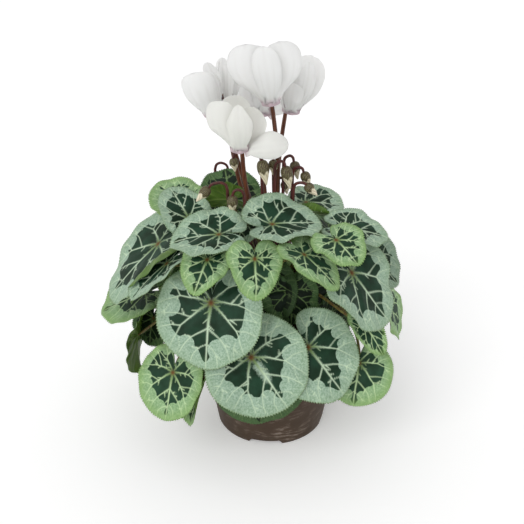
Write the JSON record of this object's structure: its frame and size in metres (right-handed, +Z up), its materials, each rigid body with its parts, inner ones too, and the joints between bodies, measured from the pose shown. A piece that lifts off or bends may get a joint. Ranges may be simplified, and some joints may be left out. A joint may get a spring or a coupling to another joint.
{
  "type": "potted cyclamen",
  "caption": "Flowering cyclamen in a round plastic pot: silver-patterned heart-shaped leaves, white swept-back flowers and hooked buds on a tuber",
  "frame": {"origin": "centre of the pot's underside, on the surface that it stands on", "axes": "+Z up through the plant, -Y towards the side shown in the picture, +X to that side's right"},
  "size_m": [0.2556, 0.2136, 0.3397],
  "materials": {
    "pot_plastic": "satin moulded",
    "tuber_skin": "corky",
    "potting_soil": "coarse peat",
    "leaf": "waxy with silver marbling",
    "flower_stalk": "satin",
    "petal": "soft matte",
    "bud": "satin"
  },
  "bodies": {
    "root": {"pot": "pot_plastic", "tuber": "tuber_skin", "potting_soil": "potting_soil", "top_leaf_1": "leaf", "top_leaf_2": "leaf", "top_leaf_3": "leaf", "top_leaf_4": "leaf", "top_leaf_5": "leaf", "top_leaf_6": "leaf", "top_leaf_7": "leaf", "top_leaf_8": "leaf", "top_leaf_9": "leaf", "top_leaf_10": "leaf", "top_leaf_11": "leaf", "top_leaf_12": "leaf", "side_leaf_1": "leaf", "side_leaf_2": "leaf", "side_leaf_3": "leaf", "side_leaf_4": "leaf", "side_leaf_5": "leaf", "side_leaf_6": "leaf", "side_leaf_7": "leaf", "side_leaf_8": "leaf", "side_leaf_9": "leaf", "side_leaf_10": "leaf", "skirt_leaf_1": "leaf", "skirt_leaf_2": "leaf", "skirt_leaf_3": "leaf", "skirt_leaf_4": "leaf", "skirt_leaf_5": "leaf", "skirt_leaf_6": "leaf", "skirt_leaf_7": "leaf", "skirt_leaf_8": "leaf", "skirt_leaf_9": "leaf", "skirt_leaf_10": "leaf", "skirt_leaf_11": "leaf", "skirt_leaf_12": "leaf", "skirt_leaf_13": "leaf", "skirt_leaf_14": "leaf", "centre_flower_stalk": "flower_stalk", "right_flower_stalk": "flower_stalk", "left_flower_stalk": "flower_stalk", "middle_flower_stalk": "flower_stalk", "front_flower_stalk": "flower_stalk", "back_flower_stalk": "flower_stalk", "centre_corolla": "petal", "right_corolla": "petal", "left_corolla": "petal", "middle_corolla": "petal", "front_corolla": "petal", "back_corolla": "petal", "bud_1": "bud", "bud_2": "bud", "bud_3": "bud", "bud_4": "bud", "bud_5": "bud", "bud_6": "bud", "bud_7": "bud", "bud_8": "bud", "bud_9": "bud"}
  },
  "joints": []
}
